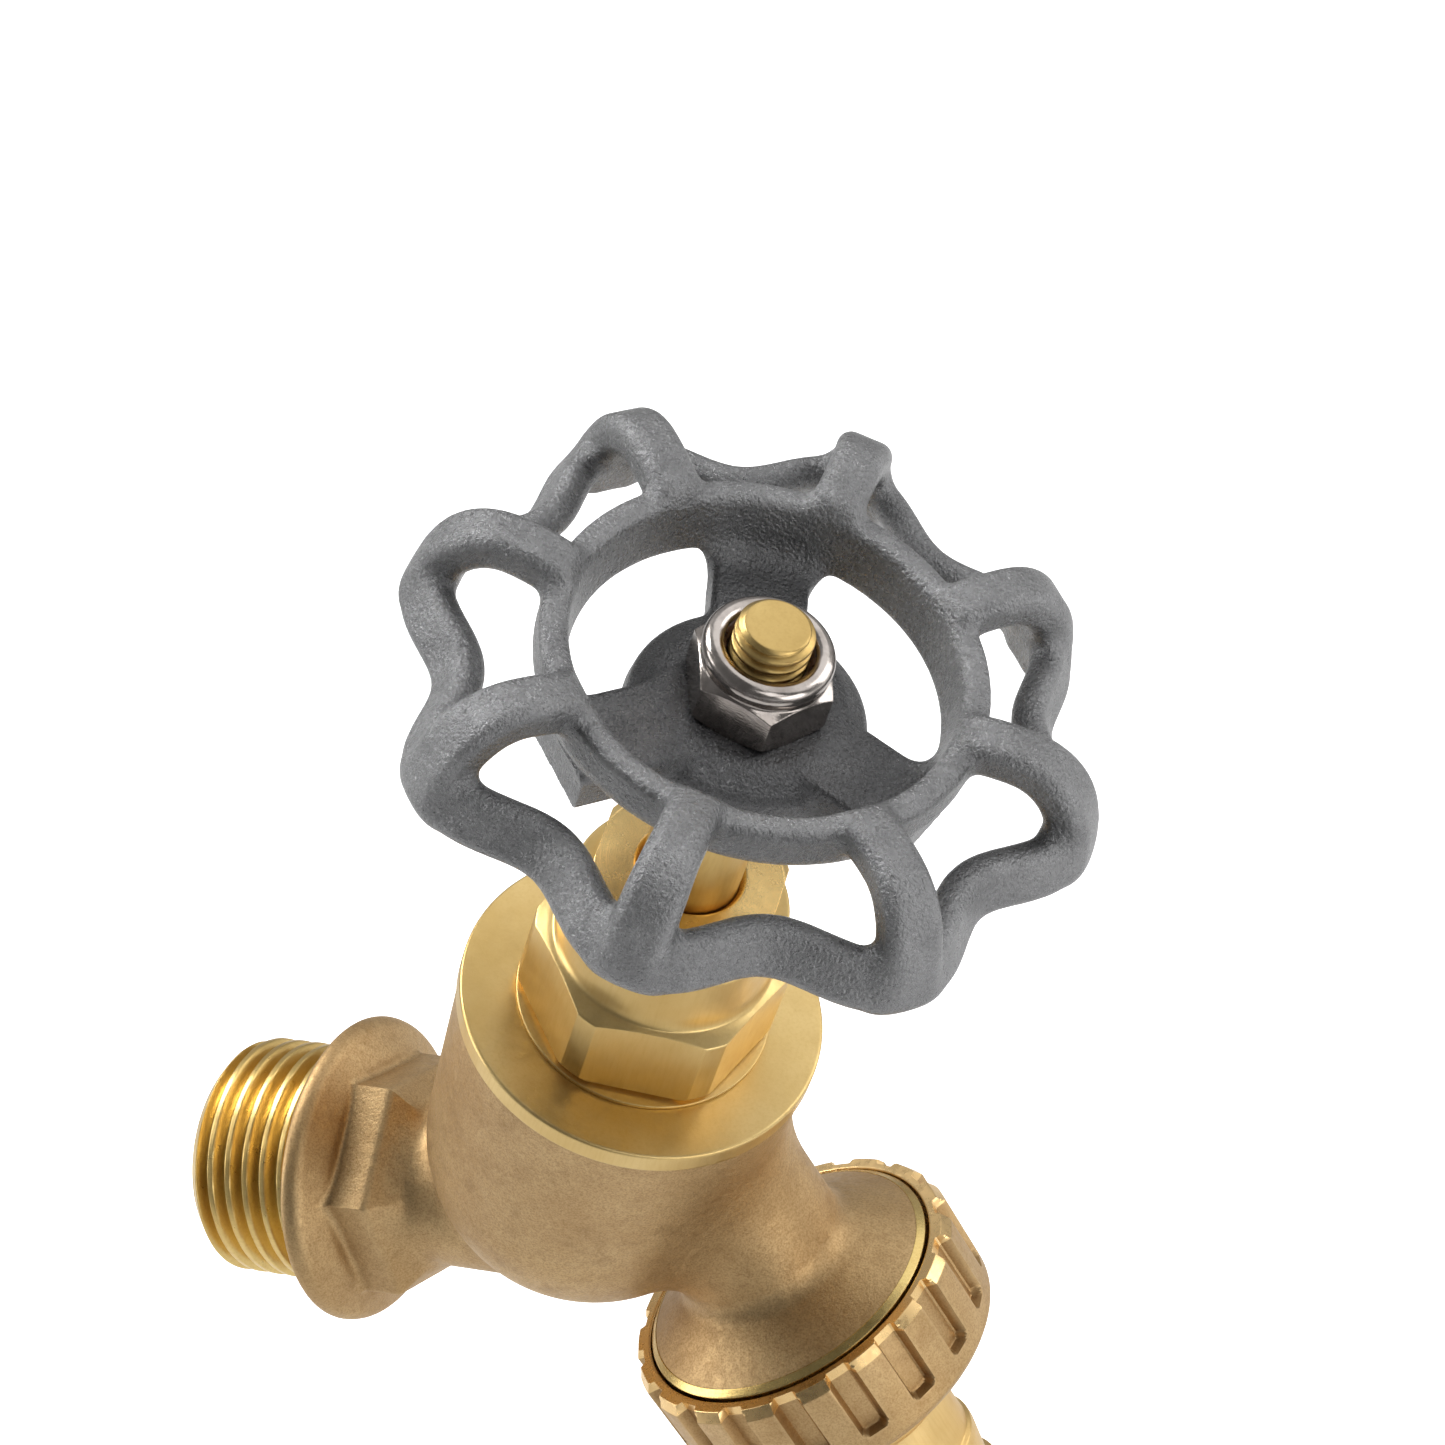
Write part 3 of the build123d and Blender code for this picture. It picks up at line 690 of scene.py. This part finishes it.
def blasted_brass(name, place, light, dark, stain_and_shade, rough=0.5, grain=0.03, cut_below=None):
    """Cast brass after shot blasting: fine grain, soft stains, brighter edges, and painted shade in
    corners.

    Where the height is less than cut_below, the blasted skin has been turned away.
    """
    g = Graph(name, place)
    patches = g.spread(g.noise(0.10, 4.0), 0.38, 0.62)
    color = g.mix(patches, dark, light)
    color = g.mix(g.spread(g.noise(0.33, 5.0, rough=0.65), 0.52, 0.75, 0.0, 0.55), color, stain_and_shade)
    color = g.mix(g.spread(g.noise(3.2, 3.0), 0.35, 0.7, 0.0, 0.35), color, light)
    color = g.mix(g.spread(g.noise(5.5, 2.0, rough=0.7), 0.42, 0.66, 0.0, 0.5), color, stain_and_shade)
    # painted shade: corners and recesses are darkened towards the stain colour by an occlusion mask
    color = g.mix(g.spread(g.hollows(3.0), 0.35, 0.9, 0.7, 0.0), color, stain_and_shade)
    color = g.mix(g.math("MULTIPLY", g.edges(0.505, 0.54), 0.4), color, light)
    roughness = g.spread(g.noise(1.5, 4.0), 0.3, 0.7, rough - 0.06, rough + 0.08)
    skin = 1.0
    if cut_below is not None:
        skin = g.spread(g.polar()[1], cut_below - 0.06, cut_below)
        color = g.mix(skin, linear(240, 204, 144), color)
        roughness = g.math("SUBTRACT", roughness, g.spread(skin, 0.0, 1.0, 0.18, 0.0))
    normal = g.bump(g.noise(1.1, 3.0), grain * 1.4, None, skin)
    normal = g.bump(g.noise(4.5, 3.0, rough=0.7), grain, normal, skin)
    return g.finish(color, roughness, normal)


def turned_brass(name, place, light, dark, rough=0.34, rings=0.003):
    """Brass off the lathe: fine rings round the axis, faint stains and rounded, bright edges."""
    g = Graph(name, place)
    radius, height = g.polar()
    feed = g.node("ShaderNodeTexNoise", noise_dimensions="2D")
    where = g.node("ShaderNodeCombineXYZ")
    g.put(where.inputs[0], radius)
    g.put(where.inputs[1], height)
    g.put(feed.inputs["Vector"], where.outputs[0])
    feed.inputs["Scale"].default_value = 7.0
    feed.inputs["Detail"].default_value = 4.0
    stains = g.spread(g.noise(0.12, 3.0, rough=0.5), 0.35, 0.7, 0.0, 0.7)
    color = g.mix(stains, light, dark)
    color = g.mix(g.spread(g.noise(5.0, 4.0, rough=0.7), 0.55, 0.8, 0.0, 0.3), color, dark)
    streaks = g.noise(3.5, 4.0, stretch=(1, 1, 0.12), rough=0.6)
    color = g.mix(g.spread(streaks, 0.45, 0.75, 0.0, 0.35), color, dark)
    roughness = g.spread(g.noise(0.7, 5.0, rough=0.65), 0.3, 0.7, rough - 0.04, rough + 0.08)
    normal = g.bump(feed.outputs["Fac"], rings, g.soft_edges(0.12))
    normal = g.bump(streaks, 0.008, normal)
    return g.finish(color, roughness, normal)


def powder_coat():
    """Grey powder coat: a fine grain with speckled highlights, painted shade in corners and painted
    shade towards the middle of the wheel.
    """
    g = Graph("grey_powder_coat", STEM)
    light, mid, dark = linear(148, 148, 149), linear(132, 132, 133), linear(24, 24, 25)
    color = g.mix(g.spread(g.noise(0.25, 4.0), 0.35, 0.65), mid, light)
    color = g.mix(g.spread(g.noise(3.0, 3.0), 0.5, 0.75, 0.0, 0.2), color, dark)
    # painted shade: corners and recesses are darkened by an occlusion mask
    color = g.mix(g.spread(g.hollows(4.0), 0.3, 0.9, 0.85, 0.0), color, dark)
    # painted shade: the middle of the wheel, inside a radius of 15 mm, is darkened as if in the shadow
    # of the ring and arms
    color = g.mix(g.spread(g.polar()[0], 11.0, 15.0, 0.4, 0.0), color, dark)
    roughness = g.spread(g.noise(2.0, 3.0), 0.3, 0.7, 0.23, 0.33)
    normal = g.bump(g.noise(1.0, 2.0), 0.06)
    normal = g.bump(g.noise(3.6, 3.0, rough=0.6), 0.24, normal)
    return g.finish(color, roughness, normal, 0.8)


def polished_steel():
    """Bright zinc-plated steel with faint drawn streaks, rounded edges and painted shade in corners."""
    g = Graph("polished_steel", STEM)
    light, mid = linear(190, 182, 176), linear(160, 152, 146)
    color = g.mix(g.spread(g.noise(0.5, 4.0), 0.4, 0.65), light, mid)
    # painted shade: corners and recesses are darkened by an occlusion mask
    color = g.mix(g.spread(g.hollows(1.5), 0.2, 0.8, 0.6, 0.0), color, linear(96, 90, 84))
    roughness = g.spread(g.noise(1.2, 5.0), 0.35, 0.7, 0.10, 0.24)
    normal = g.bump(g.noise(1.6, 4.0, stretch=(1, 1, 3)), 0.012, g.soft_edges(0.14))
    return g.finish(color, roughness, normal)


def dull_plastic(name, light, dark, rough, grain=0.02):
    """Nylon, rubber or packing: mottled, with a fine matt grain."""
    g = Graph(name)
    color = g.mix(g.spread(g.noise(1.6, 4.0), 0.35, 0.65), dark, light)
    roughness = g.spread(g.noise(2.6, 3.0), 0.3, 0.7, rough - 0.08, rough + 0.1)
    normal = g.bump(g.noise(8.0, 3.0), grain, g.soft_edges(0.1))
    return g.finish(color, roughness, normal, 0.0)


cast_brass = blasted_brass(
    "cast_brass_blasted", Matrix.Identity(4),
    linear(204, 174, 128), linear(186, 154, 109), linear(142, 110, 70),
)
ribbed_brass = blasted_brass(
    "ribbed_brass_blasted", SPOUT,
    linear(208, 178, 132), linear(192, 160, 112), linear(156, 120, 76),
    rough=0.46, grain=0.02, cut_below=S_LIP + 0.93,
)
bright_brass = turned_brass("bright_turned_brass", STEM, linear(220, 192, 132), linear(198, 164, 98))
tail_brass = turned_brass("tail_turned_brass", SPOUT, linear(234, 202, 140), linear(208, 168, 98))
inner_brass = turned_brass("inner_turned_brass", STEM, linear(220, 190, 120), linear(190, 156, 90))
inlet_brass = turned_brass(
    "inlet_thread_brass", INLET, linear(228, 200, 132), linear(196, 160, 92), rough=0.3
)
spout_brass = turned_brass(
    "spout_thread_brass", SPOUT, linear(233, 208, 138), linear(190, 150, 84), rough=0.22
)
orange_brass = turned_brass(
    "orange_turned_brass", STEM, linear(255, 222, 152), linear(240, 196, 124), rough=0.22, rings=0.006
)
dull_brass = turned_brass(
    "dull_turned_brass", STEM, linear(206, 178, 116), linear(176, 144, 84), rough=0.34, rings=0.006
)
grey_coat = powder_coat()
steel = polished_steel()
nylon = dull_plastic("brown_nylon", linear(120, 84, 56), linear(60, 40, 30), rough=0.3)
rubber = dull_plastic("black_rubber", linear(40, 40, 42), linear(22, 22, 24), rough=0.6)
packing = dull_plastic(
    "packing_fibre", linear(196, 192, 182), linear(150, 146, 138), rough=0.7, grain=0.05
)


# ---------------------------------------------------------------- the pieces
def make_casting():
    step = 0.26
    points, faces = surface_nets(body_field, (-0.6, -16.0, -15.0), (55.0, 16.0, 33.5), step)
    add_piece(
        "body_casting", points, faces, Matrix.Identity(4), "valve", cast_brass,
        ("valve_body",),
    )


def make_body_rim():
    outline = [
        (BONNET_SEAT_R, Z_RIM, 0.1), (BONNET_SEAT_R, Z_RIM - 1.7, 0.1),
        (14.5, Z_CAST_TOP - 0.3, 0), (14.85, Z_CAST_TOP, 0.1), (RIM_R, Z_CAST_TOP + 0.15, 0.1),
        (RIM_R, Z_RIM, 0.3),
    ]
    turned("body_rim", outline, STEM, "valve", bright_brass, columns=256)


def make_inlet_thread():
    r, bore, top = INLET_THREAD_R, INLET_BORE_R, INLET_THREAD_LEN
    outline = [
        (bore, -INLET_BORE_LEN, 0.1), (bore, top - 0.4, 0.1), (bore + 0.5, top, 0.15),
        (r - 1.25, top, 0.25), (r, top - 1.25, 0.15),
        (r, 0.9, 0.2), (r - 0.55, 0.5, 0.15), (r - 0.5, 0.0, 0.1),
        (SHOULDER_R - 0.5, 0.0, 0.15), (SHOULDER_R - 0.7, -0.5, 0),
        (bore + SLEEVE_PLAY, 0.1 - INLET_BORE_LEN, 0),
    ]
    turned(
        "inlet_thread_end", outline, INLET, "valve", inlet_brass,
        cut=thread(r, PIPE_THREAD_DEPTH, PIPE_PITCH, 0.3, top + 1.2), columns=224, step=0.09,
    )


def make_spout_thread():
    r, bore, end = UNION_THREAD_R, SPOUT_BORE_R, S_SPOUT_END
    outline = [
        (bore, S_SLEEVE, 0), (bore + 0.6, S_SLEEVE, 0), (6.4, 24.5, 0), (7.4, 26.2, 0),
        (12.5, S_LIP - 0.15, 0), (12.6, S_LIP - 0.6, 0.06), (LIP_R, S_LIP + 0.02, 0.12),
        (LIP_R, S_LIP + 1.0, 0.15), (r, S_LIP + 1.1, 0.05),
        (r, end - 1.0, 0.15), (r - 1.0, end, 0.2), (bore + 0.4, end, 0.1), (bore, end - 0.4, 0.1),
    ]
    turned(
        "spout_thread_end", outline, SPOUT, "valve", spout_brass,
        cut=thread(r, PIPE_THREAD_DEPTH, PIPE_PITCH, S_LIP + 1.2, end + 1.2), columns=224, step=0.1,
    )


def bonnet_cut(angle, height):
    bevel = np.clip(Z_FLATS_FOOT + FLATS_BEVEL - height, 0, FLATS_BEVEL)
    flats = hexagon(BONNET_FLATS, BONNET_TURN)(angle, height) - bevel
    return np.where((height > Z_FLATS_FOOT) & (height < Z_FLATS_TOP), flats, UNCUT)


def make_bonnet():
    r, shank = BONNET_BASE_R, BONNET_SHANK_R
    outline = [
        (BONNET_BORE_R, 20.5, 0.1), (BONNET_BORE_R, Z_WEB_FOOT, 0.1), (STEM_HOLE_R, Z_WEB_FOOT, 0),
        (STEM_HOLE_R, Z_WEB_TOP, 0), (PACKING_R, Z_WEB_TOP, 0),
        (PACKING_R, Z_COLLAR_TOP - 0.4, 0.1), (PACKING_R + 0.4, Z_COLLAR_TOP, 0.1),
        (COLLAR_R, Z_COLLAR_TOP, 0.3), (COLLAR_R, 38.35, 1.2), (9.5, 38.1, 0.0), (r, 37.65, 0.15),
        (r, 30.5, 0.2), (9.7, 29.92, 0.05), (r, 29.85, 0.08), (r, 29.52, 0.05),
        (RELIEF_R, Z_RIM, 0.1), (RELIEF_R, Z_RELIEF, 0.1), (shank, Z_RELIEF, 0.2), (shank, 20.6, 0.3),
    ]
    turned(
        "bonnet_turned", outline, STEM, "valve", bright_brass, ("bonnet",),
        cut=bonnet_cut, columns=360, step=0.12, turn=BONNET_TURN,
    )


def gland_cut(angle, height):
    flats = hexagon(GLAND_FLATS, GLAND_TURN)(angle, height)
    return np.where(height > Z_COLLAR_TOP - 0.05, flats, UNCUT)


def make_gland_nut():
    r, foot, top = GLAND_CORNER_R, Z_COLLAR_TOP + 0.02, Z_GLAND_TOP
    outline = [
        (STEM_HOLE_R, Z_GLAND_FOOT, 0.1), (STEM_HOLE_R, top - 0.45, 0.1),
        (STEM_HOLE_R + 0.4, top, 0.12), (7.55, top, 0.15), (r, top - 0.4, 0.15), (r, foot, 0.15),
        (GLAND_THREAD_R, foot, 0), (GLAND_THREAD_R, Z_GLAND_FOOT, 0.2),
    ]
    turned(
        "gland_nut_turned", outline, STEM, "valve", orange_brass, ("gland_nut",),
        cut=gland_cut, columns=300, step=0.15, turn=GLAND_TURN,
    )


def stem_cut(angle, height):
    tip = thread(TIP_THREAD_R, TIP_THREAD_DEPTH, TIP_PITCH, 69.5, 78.2)(angle, height)
    foot = thread(
        STEM_THREAD_R, STEM_THREAD_DEPTH, STEM_PITCH, Z_STEM_FOOT, Z_STEM_THREAD_TOP
    )(angle, height)
    wedge = (angle + pi / 4) % (pi / 2) - pi / 4
    square = np.minimum(SQUARE_HALF_FLATS / np.cos(wedge), SQUARE_CORNER_R)
    cut = np.where(height > Z_HUB_TOP, tip, np.where(height > Z_SQUARE, square, UNCUT))
    return np.where(height < Z_STEM_THREAD_TOP, foot, cut)


def make_stem():
    thread_r, tip_r, on_axis = STEM_THREAD_R, TIP_THREAD_R, 0.02
    outline = [
        (DISC_HOLE_R, Z_STEM_FOOT, 0.1), (thread_r, Z_STEM_FOOT, 0.4), (thread_r, 28.6, 0.4),
        (STEM_R, 29.0, 0.2), (STEM_R, Z_SQUARE, 0.2), (SQUARE_CORNER_R, Z_SQUARE + 0.1, 0.05),
        (SQUARE_CORNER_R, 69.2, 0.2), (tip_r, 69.32, 0.1), (tip_r, 76.72, 0.12),
        (TIP_CHAMFER_R, Z_STEM_TIP - 0.02, 0.1), (2.3, Z_STEM_TIP, 0.1), (on_axis, Z_STEM_TIP, 0),
        (on_axis, 26.0, 0), (DISC_HOLE_R, 24.6, 0.1),
    ]
    turned(
        "stem_turned", outline, STEM, "spindle", dull_brass, ("stem",),
        cut=stem_cut, columns=160, step=0.09,
    )


def lock_nut_cut(angle, height):
    flats = hexagon(NUT_FLATS, NUT_TURN)(angle, height)
    return np.where(height < Z_HUB_TOP + 4.6, flats, UNCUT)


def make_lock_nut():
    z = Z_HUB_TOP
    outline = [
        (3.04, z + 0.5, 0.1), (3.04, z + 3.6, 0), (NYLON_R, z + 3.7, 0), (NYLON_R, z + 5.2, 0.1),
        (3.45, z + 5.3, 0.15), (3.5, z + 5.75, 0.2), (4.1, z + 6.0, 0.5),
        (NUT_COLLAR_R, z + 5.7, 0.5), (NUT_COLLAR_R + 0.25, z + 5.0, 0.4),
        (NUT_COLLAR_R, z + 4.3, 0.3), (NUT_COLLAR_R + 0.03, z + 4.02, 0.1),
        (NUT_CORNER_R, z + 3.45, 0.08), (NUT_CORNER_R, z + 0.45, 0.15), (5.0, z, 0.1), (3.6, z, 0.1),
    ]
    turned(
        "lock_nut_turned", outline, STEM, "spindle", steel, ("lock_nut",),
        cut=lock_nut_cut, columns=300, step=0.1, turn=NUT_TURN,
    )
    ring = [
        (3.03, z + 3.95, 0.1), (NYLON_R - 0.05, z + 3.95, 0.1), (NYLON_R - 0.05, z + 5.15, 0.2),
        (3.6, z + 5.2, 0.2), (3.1, z + 4.85, 0.3),
    ]
    turned("lock_nut_ring", ring, STEM, "spindle", nylon, ("lock_nut_insert",), columns=96)


def make_handwheel():
    step = 0.24
    points, faces = surface_nets(wheel_field, (-30, -30, 63.5), (30, 30, 78), step)
    points = roughen(points, 0.8, 0.012)
    add_piece("wheel_casting", points, faces, STEM, "spindle", grey_coat, ("handwheel",))


def make_union_nut():
    mouth, floor, foot = NUT_MOUTH_R, S_LIP + 7.9, S_LIP + NUT_LENGTH
    hole = TAIL_COLLAR_R + 0.1
    outline = [
        (mouth, S_LIP + 0.1, 0.1), (mouth + 0.15, S_LIP, 0.1), (14.65, S_LIP, 0.08),
        (NUT_RIB_R, S_LIP + 0.95, 0.08), (NUT_FOOT_R + 0.05, foot - 0.9, 0.3),
        (NUT_FOOT_R - 0.7, foot, 0.5), (hole + 0.4, foot, 0.2), (hole, foot - 0.4, 0.1),
        (hole, floor, 0), (NUT_THREAD_R, floor, 0.1), (NUT_THREAD_R, S_LIP + 1.5, 0.1),
        (mouth, S_LIP + 1.4, 0),
    ]
    turned(
        "union_nut_turned", outline, SPOUT, "swivel_nut", ribbed_brass, ("union_nut",),
        cut=nut_grooves, columns=576, step=0.14, sharp=26.0,
    )


def make_hose_tail():
    flange, under = S_LIP + 6.4, S_LIP + 6.4 + TAIL_FLANGE_THICK
    outline = [
        (TAIL_BORE_R, flange, 0.1), (TAIL_FLANGE_R, flange, 0.2), (TAIL_FLANGE_R, under, 0.2),
        (TAIL_COLLAR_R, under, 0.1), (TAIL_COLLAR_R, S_LIP + 14.4, 0.3),
        (TAIL_COLLAR_R - 0.6, S_LIP + 15.1, 0.3), (TAIL_R, S_LIP + 15.6, 0.3),
        (TAIL_R, S_LIP + 21.1, 0.1),
    ]
    for k in range(BARBS):
        barb = S_LIP + 21.4 + k * BARB_PITCH
        outline += [(BARB_R, barb, 0.1), (BARB_R, barb + 0.8, 0.15), (BARB_ROOT_R, barb + 5.3, 0.2)]
    end = barb + BARB_PITCH
    outline += [(BARB_ROOT_R - 0.5, end, 0.3), (TAIL_BORE_R, end, 0.15)]
    turned(
        "hose_tail_turned", outline, SPOUT, "hose_end", tail_brass, ("hose_tail",),
        step=0.5,
    )


def dress_inner_parts():
    """Parts that stay as the CAD made them, nearly all hidden inside, get their own materials."""
    finishes = {
        "bonnet_o_ring": rubber, "packing_washer": inner_brass, "packing_ring_lower": packing,
        "packing_ring_upper": packing, "packing_follower": inner_brass, "disc_holder": inner_brass,
        "jumper_clip": steel, "seat_washer": rubber, "washer_plate": inner_brass,
        "washer_nut": inner_brass, "hose_gasket": rubber,
    }
    for node, material in finishes.items():
        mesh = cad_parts[node].data
        mesh.materials.clear()
        mesh.materials.append(material)


# ---------------------------------------------------------------- the studio
def make_floor():
    g = Graph("pale_floor")
    tone = g.mix(g.spread(g.noise(0.01, 3.0), 0.3, 0.7), (0.86, 0.86, 0.86), (0.91, 0.91, 0.91))
    g.finish(tone, 0.8, g.bump(g.noise(0.5, 2.0), 0.02), 0.0)
    g.put(g.surface.inputs["Emission Color"], (1.0, 1.0, 1.0))
    g.put(g.surface.inputs["Emission Strength"], g.node("ShaderNodeLightPath").outputs["Is Camera Ray"])
    mesh = bpy.data.meshes.new("floor")
    side, level = FLOOR_HALF_SIDE, cad_low.z - FLOOR_DROP
    corners = [(-side, -side, level), (side, -side, level), (side, side, level), (-side, side, level)]
    mesh.from_pydata(corners, [], [(0, 1, 2, 3)])
    mesh.materials.append(g.material)
    floor = bpy.data.objects.new("floor", mesh)
    bpy.context.scene.collection.objects.link(floor)


def make_light(name, direction, distance, width, height, power):
    """A soft box in a direction given along the camera's right, up and back axes."""
    data = bpy.data.lights.new(name, "AREA")
    data.shape, data.size, data.size_y, data.energy = "RECTANGLE", width, height, power
    lamp = bpy.data.objects.new(name, data)
    bpy.context.scene.collection.objects.link(lamp)
    right, up, back = direction
    towards = (CAMERA_RIGHT * right + CAMERA_UP * up + CAMERA_BACK * back).normalized()
    lamp.location = (cad_low + cad_high) / 2 + towards * distance
    lamp.rotation_euler = (-towards).to_track_quat("-Z", "Y").to_euler()


def make_world():
    """A pale room that is darker on the camera's side, and white where the camera sees it."""
    world = bpy.data.worlds.new("studio")
    bpy.context.scene.world = world
    world.use_nodes = True
    tree = world.node_tree
    towards = tree.nodes.new("ShaderNodeTexCoord").outputs["Generated"]
    facing = tree.nodes.new("ShaderNodeVectorMath")
    facing.operation = "DOT_PRODUCT"
    tree.links.new(towards, facing.inputs[0])
    facing.inputs[1].default_value = CAMERA_BACK
    dim = tree.nodes.new("ShaderNodeMapRange")
    dim.interpolation_type = "SMOOTHSTEP"
    dim.inputs["From Min"].default_value = -0.1
    dim.inputs["From Max"].default_value = 0.85
    dim.inputs["To Min"].default_value = WORLD_BRIGHT
    dim.inputs["To Max"].default_value = WORLD_DIM
    tree.links.new(facing.outputs["Value"], dim.inputs["Value"])
    seen = tree.nodes.new("ShaderNodeMath")
    seen.operation = "MAXIMUM"
    tree.links.new(dim.outputs[0], seen.inputs[0])
    tree.links.new(tree.nodes.new("ShaderNodeLightPath").outputs["Is Camera Ray"], seen.inputs[1])
    tree.links.new(seen.outputs[0], tree.nodes["Background"].inputs["Strength"])
    tree.nodes["Background"].inputs["Color"].default_value = (1, 1, 1, 1)


def make_camera():
    data = bpy.data.cameras.new("camera")
    data.sensor_width, data.lens = 36.0, CAMERA_LENS
    data.clip_start, data.clip_end = 0.01, 50
    camera = bpy.data.objects.new("camera", data)
    bpy.context.scene.collection.objects.link(camera)
    turn = Matrix((CAMERA_RIGHT, CAMERA_UP, CAMERA_BACK)).transposed().to_4x4()
    camera.matrix_world = Matrix.Translation(CAMERA_PLACE) @ turn
    bpy.context.scene.camera = camera


make_casting()
make_body_rim()
make_inlet_thread()
make_spout_thread()
make_bonnet()
make_gland_nut()
make_stem()
make_lock_nut()
make_handwheel()
make_union_nut()
make_hose_tail()
dress_inner_parts()
make_floor()
for light, settings in LIGHTS.items():
    make_light(light, *settings)
make_world()
make_camera()
scene = bpy.context.scene
scene.view_settings.view_transform = "Standard"
scene.render.film_transparent = False
